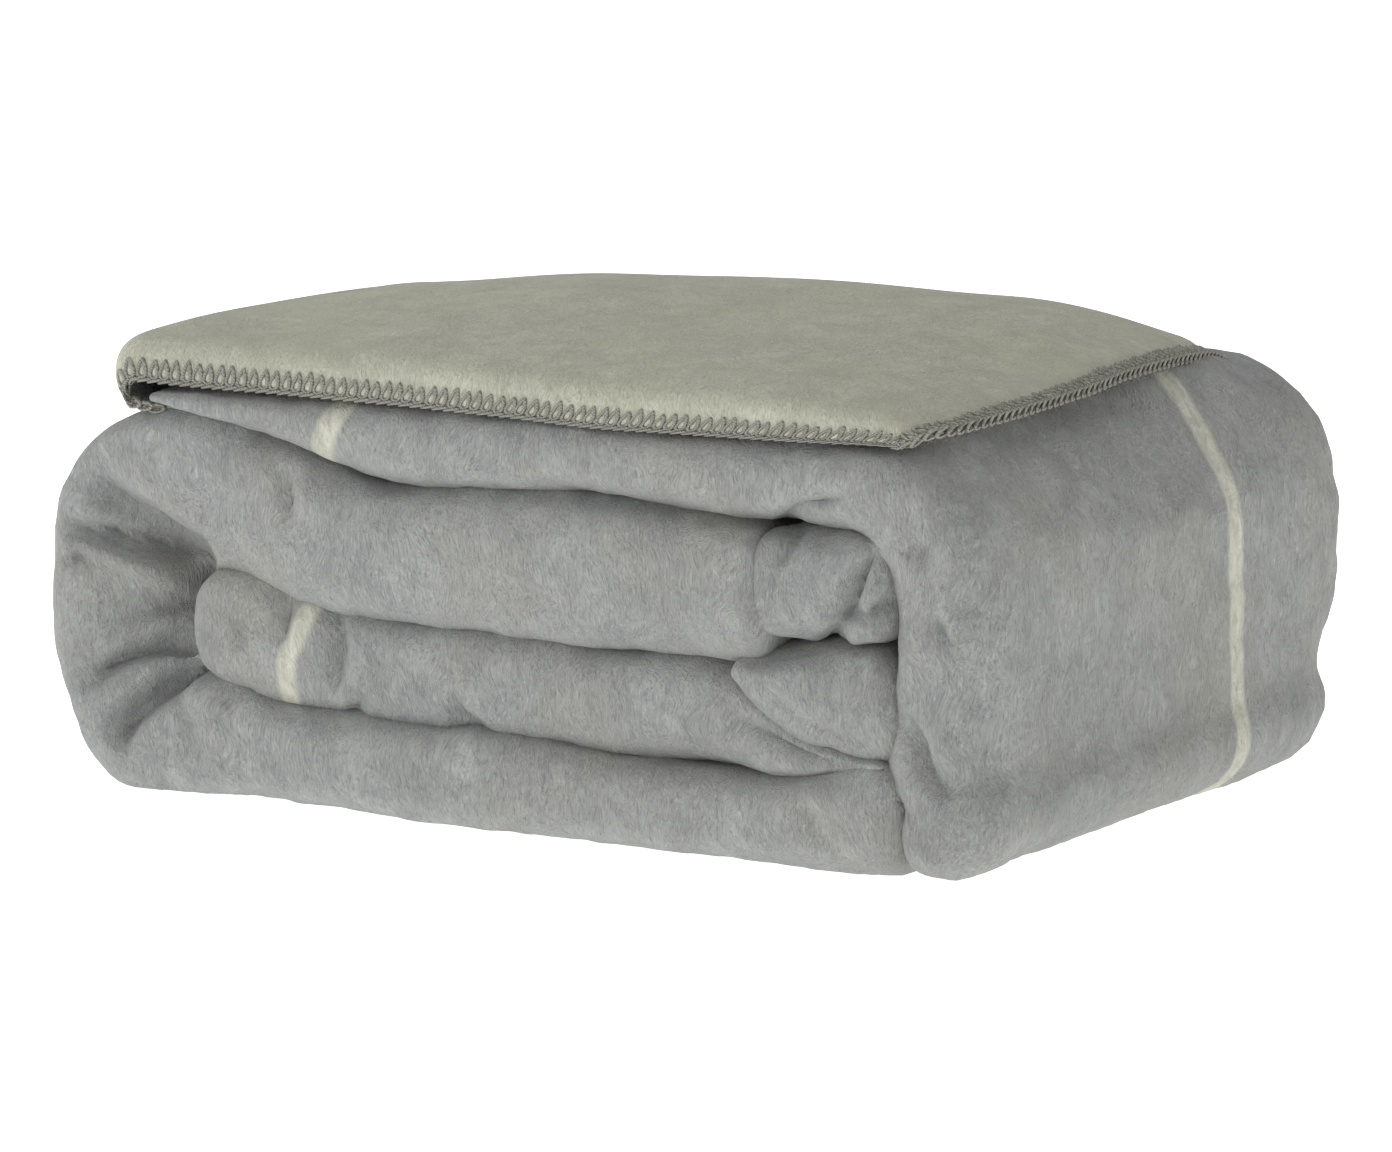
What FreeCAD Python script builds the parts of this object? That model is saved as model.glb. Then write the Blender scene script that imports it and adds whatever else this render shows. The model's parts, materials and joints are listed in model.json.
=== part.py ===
import FreeCAD, Part
import Sketcher
import os

# A plush throw blanket, folded in plies and rolled flat into a bundle.
# X runs along the front of the bundle, Y into its depth and Z up, in millimetres.
# The origin is the middle of the face that the bundle rests on.
# The plies run as a flat spiral: core run, end folds, upper inner run, left turn, bottom run,
# right turn and top run. One double cloth then turns back over the top as the flap.

doc = FreeCAD.newDocument("FoldedThrowBlanket")
sheet = doc.addObject("Spreadsheet::Sheet", "Sizes")

DRIVING_SIZES = [
    ("bundle_length", 460, "along the front"),
    ("bundle_depth", 333, "front fold to back fold"),
    ("bottom_top", 42, "top of the bottom run"),
    ("core_top", 85, "top of the core run"),
    ("inner_top", 141, "top of the upper inner run"),
    ("crown_top", 192, "top of the top run, at the middle of its depth"),
    ("crown_radius", 520, "arch of the top run, seen from the end"),
    ("left_turn_start", 150, "where the left turn begins, left of the middle"),
    ("left_shoulder", 154, "top of the left turn"),
    ("right_turn_start", 196, "where the right turn begins, right of the middle"),
    ("right_crease", 205, "crease that the top run opens about"),
    ("right_shoulder", 172, "top of the right turn"),
    ("upper_round", 36, "outer rounding of both turns at the top"),
    ("base_round", 30, "outer rounding of both turns at the base"),
    ("fold_round", 12, "rounding of the front and back folds"),
    ("nose_round", 21, "rounding of the core run's closed end"),
    ("nose_hollow", 22, "radius of the hollow that the nose lies in"),
    ("nose_tip", 160, "tip of the core run's closed end, left of the middle"),
    ("end_folds_start", 128, "left side of the end folds"),
    ("wedge_foot", 186, "where the lower end fold comes to its foot"),
    ("wedge_foot_top", 50, "height of that foot"),
    ("fold_parting", 93, "parting between the two end folds"),
    ("top_tip", 166, "left tip of the top run"),
    ("top_tip_under", 167, "underside of the top run at its tip"),
    ("top_taper_end", 50, "where the top run reaches its full height"),
    ("top_trim", 210, "above the arch, so that the arch trims the top run"),
    ("tuck_left", 172, "left end of the tucked cloth"),
    ("tuck_right", 70, "inner end of the tucked cloth"),
    ("tuck_left_under", 160.3, "underside of the tucked cloth at its left end"),
    ("tuck_right_under", 141.8, "underside of the tucked cloth at its inner end"),
    ("ply", 4, "one face of the double cloth, pile and all"),
    ("gap", 0.4, "air between folds that part when the blanket is opened"),
    ("flap_left", 178, "left end of the flap"),
    ("flap_right", 197, "right end of the flap's cloth"),
    ("flap_side", 148, "front and back edges of the flap's cloth, from the middle"),
    ("yarn_width", 3, "edge yarn beyond the cloth's edge"),
    ("yarn_swell", 0.6, "edge yarn above and below the cloth"),
]

TOLERANCE = 0.01


def fill_sheet():
    for row, (alias, value, meaning) in enumerate(DRIVING_SIZES, start=1):
        sheet.set(f"A{row}", meaning)
        sheet.set(f"B{row}", str(value))
        sheet.setAlias(f"B{row}", alias)
    doc.recompute()


def bind(thing, settings):
    """Tie properties of a document object to expressions of the sheet's sizes."""
    for name, expression in settings.items():
        thing.setExpression(name, expression)


# Bodies drawn as an outline in the XZ plane and padded through the depth.

def draw_outline(body, corners):
    """A closed polygon. Each corner is a pair of expressions: across, then up."""
    sketch = body.newObject("Sketcher::SketchObject", body.Name + "_outline")
    planes = body.Origin.OriginFeatures
    front_plane = next(plane for plane in planes if plane.Role == "XZ_Plane")
    sketch.AttachmentSupport = [(front_plane, "")]
    sketch.MapMode = "FlatFace"
    points = [
        FreeCAD.Vector(sheet.evalExpression(across), sheet.evalExpression(up), 0)
        for across, up in corners
    ]
    count = len(points)
    for i in range(count):
        sketch.addGeometry(Part.LineSegment(points[i], points[(i + 1) % count]), False)
    for i in range(count):
        sketch.addConstraint(Sketcher.Constraint("Coincident", i, 2, (i + 1) % count, 1))
    for i, (across, up) in enumerate(corners):
        for kind, expression, value in (
            ("DistanceX", across, points[i].x),
            ("DistanceY", up, points[i].y),
        ):
            index = sketch.addConstraint(Sketcher.Constraint(kind, i, 1, value))
            sketch.setExpression(f"Constraints[{index}]", expression)
    return sketch


def padded_body(name, corners, depth="Sizes.bundle_depth"):
    body = doc.addObject("PartDesign::Body", name)
    sketch = draw_outline(body, corners)
    pad = body.newObject("PartDesign::Pad", name + "_depth")
    pad.Profile = sketch
    pad.SideType = "Symmetric"
    pad.setExpression("Length", depth)
    doc.recompute()
    return body


def near(a, b):
    return abs(a - b) < TOLERANCE


def cross_edges(x, z):
    """Picks the edges that run through the depth at a given place across and up."""
    def pick(edge):
        low, high = edge.BoundBox.XMin, edge.BoundBox.XMax
        flat = near(edge.BoundBox.ZMin, z) and near(edge.BoundBox.ZMax, z)
        return near(low, x) and near(high, x) and flat
    return pick


def side_edges(edge):
    """Picks the edges round the front and back faces."""
    half_depth = sheet.bundle_depth / 2
    box = edge.BoundBox
    return near(box.YMin, box.YMax) and near(abs(box.YMin), half_depth)


def long_side_edges(edge):
    """Of the edges round the front and back faces, picks those that run along the bundle."""
    return side_edges(edge) and edge.BoundBox.XLength > sheet.end_folds_start / 4


def round_edges(body, pick, radius):
    """Round the picked edges of a body, and check that the rounding took something off."""
    base = body.Tip
    volume = base.Shape.Volume
    names = [f"Edge{i}" for i, edge in enumerate(base.Shape.Edges, start=1) if pick(edge)]
    rounding = body.newObject("PartDesign::Fillet", f"{body.Name}_round_{len(body.Group)}")
    rounding.Base = (base, names)
    rounding.setExpression("Radius", radius)
    doc.recompute()
    if rounding.Shape.isNull() or rounding.Shape.Volume >= volume:
        raise ValueError(f"{rounding.Name} took nothing off")
    return rounding


# Folds of the bundle that stay together.

def make_bottom_run():
    body = padded_body("bottom_run", [
        ("-Sizes.left_turn_start", "0"),
        ("Sizes.right_turn_start", "0"),
        ("Sizes.right_turn_start", "Sizes.bottom_top"),
        ("-Sizes.left_turn_start", "Sizes.bottom_top"),
    ])
    round_edges(body, long_side_edges, "Sizes.fold_round")
    return body


def make_left_turn():
    half = "-Sizes.bundle_length / 2"
    block = padded_body("left_turn_block", [
        (half, "0"),
        ("-Sizes.left_turn_start", "0"),
        ("-Sizes.left_turn_start", "Sizes.left_shoulder"),
        (half, "Sizes.left_shoulder"),
    ])
    left = -sheet.bundle_length / 2
    round_edges(block, cross_edges(left, sheet.left_shoulder), "Sizes.upper_round")
    round_edges(block, cross_edges(left, 0), "Sizes.base_round")
    outer = lambda edge: side_edges(edge) and edge.BoundBox.XMin < -sheet.left_turn_start - 1
    round_edges(block, outer, "Sizes.fold_round")
    hollow = doc.addObject("Part::Cylinder", "nose_hollow")
    hollow.Placement = FreeCAD.Placement(
        FreeCAD.Vector(0, 0, 0), FreeCAD.Rotation(FreeCAD.Vector(1, 0, 0), -90))
    bind(hollow, {
        "Radius": "Sizes.nose_hollow",
        "Height": "Sizes.bundle_depth + 20",
        "Placement.Base.x": "-Sizes.nose_tip + Sizes.nose_round",
        "Placement.Base.y": "-Sizes.bundle_depth / 2 - 10",
        "Placement.Base.z": "(Sizes.bottom_top + Sizes.core_top) / 2",
    })
    turn = doc.addObject("Part::Cut", "left_turn")
    turn.Base = block
    turn.Tool = hollow
    return turn


def make_right_turn():
    body = padded_body("right_turn", [
        ("Sizes.right_turn_start", "0"),
        ("Sizes.bundle_length / 2", "0"),
        ("Sizes.bundle_length / 2", "Sizes.right_shoulder"),
        ("Sizes.right_crease", "Sizes.right_shoulder"),
        ("Sizes.right_crease", "Sizes.inner_top"),
        ("Sizes.right_turn_start", "Sizes.inner_top"),
    ])
    right = sheet.bundle_length / 2
    round_edges(body, cross_edges(right, sheet.right_shoulder), "Sizes.fold_round * 2")
    round_edges(body, cross_edges(right, 0), "Sizes.base_round")
    outer = lambda edge: side_edges(edge) and edge.BoundBox.XMax > sheet.right_crease + 1
    round_edges(body, outer, "Sizes.fold_round")
    return body


def make_core_run():
    body = padded_body("core_run", [
        ("-Sizes.nose_tip", "Sizes.bottom_top"),
        ("Sizes.right_turn_start", "Sizes.bottom_top"),
        ("Sizes.right_turn_start", "Sizes.wedge_foot_top"),
        ("Sizes.wedge_foot", "Sizes.wedge_foot_top"),
        ("Sizes.end_folds_start", "Sizes.core_top"),
        ("-Sizes.nose_tip", "Sizes.core_top"),
    ])
    for height in (sheet.bottom_top, sheet.core_top):
        round_edges(body, cross_edges(-sheet.nose_tip, height), "Sizes.nose_round")
    return body


def make_upper_inner_run():
    body = padded_body("upper_inner_run", [
        ("-Sizes.left_turn_start", "Sizes.core_top"),
        ("Sizes.end_folds_start", "Sizes.core_top"),
        ("Sizes.end_folds_start", "Sizes.inner_top"),
        ("-Sizes.tuck_right", "Sizes.inner_top"),
        ("-Sizes.left_turn_start", "Sizes.left_shoulder"),
    ])
    round_edges(body, long_side_edges, "Sizes.fold_round")
    return body


def make_core_end_fold_lower():
    return padded_body("core_end_fold_lower", [
        ("Sizes.end_folds_start", "Sizes.core_top"),
        ("Sizes.wedge_foot", "Sizes.wedge_foot_top"),
        ("Sizes.right_turn_start", "Sizes.wedge_foot_top"),
        ("Sizes.right_turn_start", "Sizes.fold_parting"),
        ("Sizes.end_folds_start", "Sizes.fold_parting"),
    ])


def make_core_end_fold_upper():
    body = padded_body("core_end_fold_upper", [
        ("Sizes.end_folds_start", "Sizes.fold_parting"),
        ("Sizes.right_turn_start", "Sizes.fold_parting"),
        ("Sizes.right_turn_start", "Sizes.inner_top"),
        ("Sizes.end_folds_start", "Sizes.inner_top"),
    ])
    round_edges(body, long_side_edges, "Sizes.fold_round")
    return body


# The arched top of the bundle: cylinders along X, all about one line under the bundle.

def arch_cylinder(name, above_crown):
    cylinder = doc.addObject("Part::Cylinder", name)
    cylinder.Placement = FreeCAD.Placement(
        FreeCAD.Vector(0, 0, 0), FreeCAD.Rotation(FreeCAD.Vector(0, 1, 0), 90))
    bind(cylinder, {
        "Radius": f"Sizes.crown_radius + {above_crown}",
        "Height": "Sizes.bundle_length + 20",
        "Placement.Base.x": "-Sizes.bundle_length / 2 - 10",
        "Placement.Base.z": "Sizes.crown_top - Sizes.crown_radius",
    })
    return cylinder


def trim_box(name, start, length, front, depth):
    """A box over the top of the bundle that trims a piece of the arch to its length and depth."""
    box = doc.addObject("Part::Box", name)
    bind(box, {
        "Length": length,
        "Width": depth,
        "Height": "Sizes.top_trim - Sizes.inner_top",
        "Placement.Base.x": start,
        "Placement.Base.y": front,
        "Placement.Base.z": "Sizes.inner_top",
    })
    return box


def arch_piece(name, under, over, start, length, front, depth):
    """A strip of the arch between two heights above the crown, trimmed to a box."""
    shell = doc.addObject("Part::Cut", name + "_arch")
    shell.Base = arch_cylinder(name + "_outer", over)
    shell.Tool = arch_cylinder(name + "_inner", under)
    piece = doc.addObject("Part::Common", name)
    piece.Base = shell
    piece.Tool = trim_box(name + "_extent", start, length, front, depth)
    return piece


def make_top_run():
    block = padded_body("top_run_block", [
        ("-Sizes.top_tip", "Sizes.top_tip_under"),
        ("-Sizes.top_taper_end", "Sizes.inner_top + Sizes.gap"),
        ("Sizes.right_crease - Sizes.gap", "Sizes.inner_top + Sizes.gap"),
        ("Sizes.right_crease - Sizes.gap", "Sizes.top_trim"),
        ("-Sizes.top_tip", "Sizes.top_trim"),
    ], depth="Sizes.bundle_depth - 2 * Sizes.yarn_width")
    run = doc.addObject("Part::Common", "top_run")
    run.Base = block
    run.Tool = arch_cylinder("top_run_arch", "0")
    return run


def make_flap_tuck():
    slope = "(Sizes.top_tip_under - Sizes.inner_top - Sizes.gap) / (Sizes.top_tip - Sizes.top_taper_end)"
    top_at = lambda place: f"Sizes.top_tip_under + (Sizes.{place} - Sizes.top_tip) * {slope}"
    return padded_body("flap_tuck", [
        ("-Sizes.tuck_left", "Sizes.tuck_left_under"),
        ("-Sizes.tuck_right", "Sizes.tuck_right_under"),
        ("-Sizes.tuck_right", top_at("tuck_right")),
        ("-Sizes.tuck_left", top_at("tuck_left")),
    ], depth="2 * Sizes.flap_side")


def make_flap():
    cloth_start = "-Sizes.flap_left"
    cloth_length = "Sizes.flap_left + Sizes.flap_right"
    cloth = (cloth_start, cloth_length, "-Sizes.flap_side", "2 * Sizes.flap_side")
    yarn_under = "Sizes.gap / 2"
    yarn_over = "Sizes.gap + 2 * Sizes.ply + Sizes.yarn_swell"
    yarn = "Sizes.yarn_width"
    edge_length = f"{cloth_length} + {yarn}"
    return [
        arch_piece("flap_face_cloth", "Sizes.gap", "Sizes.gap + Sizes.ply", *cloth),
        arch_piece("flap_reverse_cloth", "Sizes.gap + Sizes.ply", "Sizes.gap + 2 * Sizes.ply", *cloth),
        arch_piece("flap_edge_stitch_front", yarn_under, yarn_over,
                   cloth_start, edge_length, f"-Sizes.flap_side - {yarn}", yarn),
        arch_piece("flap_edge_stitch_back", yarn_under, yarn_over,
                   cloth_start, edge_length, "Sizes.flap_side", yarn),
        arch_piece("flap_edge_stitch_end", yarn_under, yarn_over,
                   "Sizes.flap_right", yarn, "-Sizes.flap_side", "2 * Sizes.flap_side"),
    ]


def check_document():
    for thing in doc.Objects:
        if "Invalid" in thing.State or "Error" in thing.State:
            raise ValueError(f"{thing.Name} failed: {thing.State}")


def write_parts(parts):
    os.makedirs("parts", exist_ok=True)
    for part in parts:
        shape = part.Shape
        if shape.isNull() or not shape.isValid() or len(shape.Solids) != 1:
            raise ValueError(f"{part.Label} isn't one valid solid")
        shape.exportStep(f"parts/{part.Label}.step")
        box = shape.BoundBox
        print(f"{part.Label:24s} {shape.Volume / 1000:9.1f} cm3  "
              f"x {box.XMin:7.1f} {box.XMax:7.1f}  y {box.YMin:7.1f} {box.YMax:7.1f}  "
              f"z {box.ZMin:6.1f} {box.ZMax:6.1f}")


fill_sheet()
folds = [
    make_bottom_run(),
    make_left_turn(),
    make_right_turn(),
    make_core_run(),
    make_upper_inner_run(),
    make_core_end_fold_lower(),
    make_core_end_fold_upper(),
    make_top_run(),
    make_flap_tuck(),
] + make_flap()
doc.recompute()
check_document()
write_parts(folds)
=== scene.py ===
import json
import math
import bpy
import numpy as np
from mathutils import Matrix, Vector, noise


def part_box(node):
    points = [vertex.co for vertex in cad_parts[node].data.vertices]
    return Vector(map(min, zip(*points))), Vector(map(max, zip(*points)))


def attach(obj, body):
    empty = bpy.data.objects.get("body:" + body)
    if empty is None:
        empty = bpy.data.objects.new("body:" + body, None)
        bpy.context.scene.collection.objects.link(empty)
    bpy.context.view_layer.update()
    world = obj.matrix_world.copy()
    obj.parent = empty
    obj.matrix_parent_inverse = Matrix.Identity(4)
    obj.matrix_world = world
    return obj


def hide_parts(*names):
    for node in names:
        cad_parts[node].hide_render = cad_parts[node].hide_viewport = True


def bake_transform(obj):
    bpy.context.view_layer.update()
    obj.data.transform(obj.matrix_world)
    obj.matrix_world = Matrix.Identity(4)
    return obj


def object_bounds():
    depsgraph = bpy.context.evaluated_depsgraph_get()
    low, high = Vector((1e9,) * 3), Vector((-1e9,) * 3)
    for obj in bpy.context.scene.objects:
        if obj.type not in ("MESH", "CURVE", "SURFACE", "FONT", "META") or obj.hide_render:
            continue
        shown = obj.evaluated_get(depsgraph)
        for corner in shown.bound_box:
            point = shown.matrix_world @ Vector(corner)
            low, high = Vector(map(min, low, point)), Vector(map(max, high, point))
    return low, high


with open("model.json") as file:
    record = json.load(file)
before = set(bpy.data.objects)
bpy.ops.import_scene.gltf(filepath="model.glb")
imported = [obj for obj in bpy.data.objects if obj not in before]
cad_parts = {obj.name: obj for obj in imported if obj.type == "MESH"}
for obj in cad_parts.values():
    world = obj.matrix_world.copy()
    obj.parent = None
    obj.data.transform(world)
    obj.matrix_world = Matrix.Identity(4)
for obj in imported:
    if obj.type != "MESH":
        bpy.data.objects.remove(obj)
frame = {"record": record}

cadLow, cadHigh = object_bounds()
mm = 0.001

# Places are in millimetres along the frame's own axes: x across the front, with the bundle's middle at 0,
# y from the front to the back, and z up from the table.
bundleFront = cadLow[1] / mm
hinges = {joint["name"]: joint["pos_m"] for joint in frame["record"]["behaviour"]["joints"]}


def smoothStep(low, high, value):
    share = np.clip((value - low) / (high - low), 0, 1)
    return share * share * (3 - 2 * share)


def smoothLine(rows, step):
    # a smooth line through given rows, one row per step of travel; every column is carried along
    rows = np.array(rows, float)
    padded = np.vstack([2 * rows[0] - rows[1], rows, 2 * rows[-1] - rows[-2]])
    fine = []
    for i in range(len(rows) - 1):
        before, here, there, after = padded[i:i + 4]
        for t in np.linspace(0, 1, 24, endpoint=False):
            bend = 2 * before - 5 * here + 4 * there - after
            twist = 3 * here - before - 3 * there + after
            fine.append(0.5 * (2 * here + (there - before) * t + bend * t * t + twist * t ** 3))
    fine = np.array(fine + [rows[-1]])
    travel = np.concatenate([[0], np.cumsum(np.linalg.norm(np.diff(fine[:, :2], axis=0), axis=1))])
    marks = np.linspace(0, travel[-1], max(4, round(travel[-1] / step)) + 1)
    return np.stack([np.interp(marks, travel, column) for column in fine.T], axis=1)


def distanceToLine(points, line):
    # how far each flat point is from a line of given points, and how far along it the nearest place is
    line = np.array(line, float)
    nearest = np.full(len(points), 1e9)
    along = np.zeros(len(points))
    run = 0.0
    for start, end in zip(line[:-1], line[1:]):
        span = end - start
        length = np.linalg.norm(span)
        share = np.clip((points - start) @ span / length ** 2, 0, 1)
        away = np.linalg.norm(points - start - share[:, None] * span, axis=1)
        closer = away < nearest
        nearest = np.where(closer, away, nearest)
        along = np.where(closer, run + share * length, along)
        run += length
    return nearest, along / run


def swell(points, size, height, seed):
    # slow ups and downs of soft cloth, the same at every run of the script
    shift = Vector((seed * 7.3, seed * 3.1, seed * 5.7))
    return np.array([noise.noise(Vector(p) / size + shift) for p in points]) * height


def selectOnly(obj):
    bpy.ops.object.select_all(action="DESELECT")
    obj.select_set(True)
    bpy.context.view_layer.objects.active = obj


def addGrid(name, across, along):
    # a flat sheet of cloth as a grid; returns it with each vertex's column and row
    bpy.ops.object.select_all(action="DESELECT")
    bpy.ops.mesh.primitive_grid_add(x_subdivisions=across, y_subdivisions=along, size=1)
    cloth = bpy.context.object
    cloth.name = name
    cloth.data.name = name
    flat = np.zeros(len(cloth.data.vertices) * 3)
    cloth.data.vertices.foreach_get("co", flat)
    flat = flat.reshape(-1, 3)
    columns = np.rint((flat[:, 0] + 0.5) * across).astype(int)
    rows = np.rint((flat[:, 1] + 0.5) * along).astype(int)
    return cloth, columns, rows


def placeVertices(cloth, places):
    cloth.data.vertices.foreach_set("co", (places * mm).ravel())
    cloth.data.update()


def smoothOutside(cloth, closeSeams=False):
    # normals outwards and smooth shading; a loop that comes back to its start is joined there
    selectOnly(cloth)
    bpy.ops.object.mode_set(mode="EDIT")
    bpy.ops.mesh.select_all(action="SELECT")
    if closeSeams:
        bpy.ops.mesh.remove_doubles(threshold=0.05 * mm)
    bpy.ops.mesh.normals_make_consistent(inside=False)
    bpy.ops.object.mode_set(mode="OBJECT")
    bpy.ops.object.shade_smooth()


def readVertices(cloth):
    flat = np.zeros(len(cloth.data.vertices) * 3)
    cloth.data.vertices.foreach_get("co", flat)
    return flat.reshape(-1, 3) / mm


def readNormals(cloth):
    flat = np.zeros(len(cloth.data.vertices) * 3)
    cloth.data.vertices.foreach_get("normal", flat)
    return flat.reshape(-1, 3)


def foldedRun(name, settings):
    # a run of folded plies: a soft loop round the plies, carried along the run's middle line
    low, high = [np.round(np.array(corner) / mm, 2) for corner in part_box(settings["node"])]
    line = np.array(settings["line"], float)
    line[:, :2] += low[[0, 2]]
    line = smoothLine(line, settings["step"])
    travel = np.concatenate([[0], np.cumsum(np.linalg.norm(np.diff(line[:, :2], axis=0), axis=1))])
    total = travel[-1]
    startRound, endRound = settings["startRound"], settings["endRound"]
    roundEnd = 1 - np.cos(np.linspace(0, math.pi / 2, 9))
    between = travel[(travel > startRound) & (travel < total - endRound)]
    marks = np.concatenate([startRound * roundEnd, between, total - endRound * roundEnd[::-1]])
    middle = np.stack([np.interp(marks, travel, column) for column in line.T], axis=1)
    heading = np.gradient(middle[:, :2], marks, axis=0)
    heading[0], heading[-1] = heading[1], heading[-2]
    heading /= np.linalg.norm(heading, axis=1)[:, None]
    outward = np.stack([heading[:, 1], -heading[:, 0]], axis=1)
    fullness = np.ones(len(marks))
    for reach, fromEnd in ((startRound, marks), (endRound, total - marks)):
        fullness *= np.sqrt(np.clip(1 - np.clip(1 - fromEnd / reach, 0, 1) ** 2, 0, 1))

    # the loop, as pairs: across the plies from -1 (inner) to 1 (outer), and a place through the depth
    power = 2 / settings["squareness"]
    frontTurn = np.linspace(0, math.pi, settings["frontFaces"] + 1)
    backTurn = np.linspace(math.pi, 0, settings["backFaces"] + 1)
    acrossFront = np.sign(np.cos(frontTurn)) * np.abs(np.cos(frontTurn)) ** power
    acrossBack = np.sign(np.cos(backTurn)) * np.abs(np.cos(backTurn)) ** power
    inner = np.linspace(0, 1, settings["innerFaces"] + 1)[1:-1]
    outer = np.linspace(1, 0, settings["outerFaces"] + 1)[1:]
    across = np.concatenate([acrossFront, -np.ones(len(inner)), acrossBack, np.ones(len(outer))])
    through = np.concatenate([np.zeros(len(frontTurn)), inner, np.ones(len(backTurn)), outer])
    bulge = np.concatenate([np.sin(frontTurn) ** power, np.zeros(len(inner)),
                            -np.sin(backTurn) ** power, np.zeros(len(outer))])

    cloth, columns, rows = addGrid(name, len(marks) - 1, len(across) - 1)
    front, back = low[1] + settings["inFront"], high[1] - settings["inBack"]
    fold = middle[columns, 4]
    half = middle[columns, 2] * fullness[columns]
    pull = 0.7 * fold * (1 - fullness[columns])
    depth = (front + fold + pull) * (1 - through[rows]) + (back - fold - pull) * through[rows]
    depth -= bulge[rows] * (fold * (0.35 + 0.65 * fullness[columns]))
    recess = middle[columns, 3] * ((1 - across[rows]) / 2) ** 1.6
    depth += recess * (1 - through[rows])
    places = np.empty((len(rows), 3))
    places[:, 0] = middle[columns, 0] + outward[columns, 0] * half * across[rows]
    places[:, 2] = middle[columns, 1] + outward[columns, 1] * half * across[rows]
    places[:, 1] = depth
    if "lift" in settings:
        places[:, 2] += settings["lift"](places, (1 + across[rows]) / 2)
    # the lower back corner is the softest, and is drawn in
    corner = (1 - smoothStep(5, 72, places[:, 2])) * smoothStep(40, 160, places[:, 1])
    places[:, 1] -= cornerDraw["forward"] * corner
    places[:, 0] -= cornerDraw["sideways"] * corner * smoothStep(120, 180, places[:, 0])
    placeVertices(cloth, places)
    smoothOutside(cloth, closeSeams=True)
    return cloth


cornerDraw = {"forward": 14, "sideways": 7}
creasePlane = -150             # the depth at which the creases' lines are given
creaseLean = (0.604, 0.213)    # how far a crease drifts left and down as it runs one millimetre back


def pressCreases(cloth, creases):
    # each crease: its line on the front, how deep and how wide, and how far it runs into the depth
    places = readVertices(cloth)
    back = places[:, 1] - creasePlane
    flat = places[:, [0, 2]] + back[:, None] * np.array(creaseLean)
    normals = readNormals(cloth)
    push = np.zeros(len(places))
    for crease in creases:
        away, along = distanceToLine(flat, crease["line"])
        ends = np.clip(np.sin(np.clip(along, 0, 1) * math.pi), 0, 1) ** 0.6
        valley = np.clip(1 - away / crease["width"], 0, 1) ** 2
        lip = np.exp(-((away - 1.1 * crease["width"]) / (0.55 * crease["width"])) ** 2)
        near = 1 - smoothStep(0.3 * crease["reach"], crease["reach"], places[:, 1] - bundleFront)
        push += crease["depth"] * ends * near * (valley - 0.16 * lip)
    places -= normals * push[:, None]
    placeVertices(cloth, places)


tableGap = 0.3    # the cloth's lowest point over the table


def softenSurface(cloth, seed, height=1.0):
    # slack cloth in swells of three sizes, and flat where it lies on the table
    places = readVertices(cloth)
    normals = readNormals(cloth)
    lift = swell(places, 62, 2.4 * height, seed) + swell(places, 23, 1.2 * height, seed + 5)
    lift += swell(places, 9, 0.7, seed + 9)
    places += normals * lift[:, None]
    places[:, 2] = np.maximum(places[:, 2], tableGap)
    placeVertices(cloth, places)


# Each run: the node it is placed from; rows of x and z from that node's lower left corner, half thickness,
# how far the inner side falls back and how far the folds bulge at the front; how far apart its loops are;
# how far its two ends round off; how far inside the node its front and back are; how square its folds are;
# and the faces of a loop over the front fold, back fold, inner side and outer side.
outerTurn = {
    "node": "left_turn",
    "line": [(363, 114, 26, 0, 20), (330, 112, 28, 0, 21), (266, 112, 30, 0, 22), (210, 110, 29, 0, 22),
             (170, 110, 28, 0, 22), (140, 115, 30, 0, 24), (110, 122, 33, 5, 28), (78, 124, 39, 15, 34),
             (51.5, 107, 46, 42, 41), (44, 80, 41, 52, 44), (48.5, 55, 44, 42, 42), (61, 39, 49, 24, 36),
             (81, 29, 33, 9, 30), (105, 24, 24, 3, 24), (130, 21, 20.5, 0, 22), (174, 20, 19.5, 0, 21),
             (230, 20, 20, 0, 21), (294, 18, 17.5, 0, 21), (364, 18, 17.5, 0, 21), (405, 22, 21, 0, 22),
             (430, 23, 19, 0, 22)],
    "step": 5.2, "startRound": 12, "endRound": 16,
    "inFront": 0.5, "inBack": 2.5,
    "squareness": 3.1, "frontFaces": 22, "backFaces": 16, "innerFaces": 24, "outerFaces": 50,
}
coreRun = {
    "node": "core_run",
    "line": [(349, 4, 1.5, 0, 12), (336, 3, 3, 0, 13), (308, 3, 7.5, 0, 15), (293, 6, 11.5, 0, 17),
             (279, 11, 16.5, 0, 19), (266, 16, 21, 0, 20), (250, 18, 22, 0, 20), (224, 17, 22, 0, 20),
             (160, 18, 22, 0, 20), (104, 19, 23.5, 0, 20), (60, 24, 25.5, 0, 20), (35, 30, 26, 0, 20),
             (0, 33.5, 22.5, 0, 20)],
    "step": 5.2, "startRound": 3, "endRound": 21,
    "inFront": 6.5, "inBack": 6.5,
    "squareness": 3.1, "frontFaces": 18, "backFaces": 14, "innerFaces": 24, "outerFaces": 24,
}
upperEndFold = {
    "node": "core_end_fold_upper",
    "line": [(60, 23, 21, 0, 18), (32, 23, 22, 0, 18), (-9, 20, 21, 0, 18)],
    "step": 4.8, "startRound": 12, "endRound": 9,
    "inFront": 7.5, "inBack": 8.5,
    "squareness": 3.1, "frontFaces": 18, "backFaces": 12, "innerFaces": 24, "outerFaces": 24,
}
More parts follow.
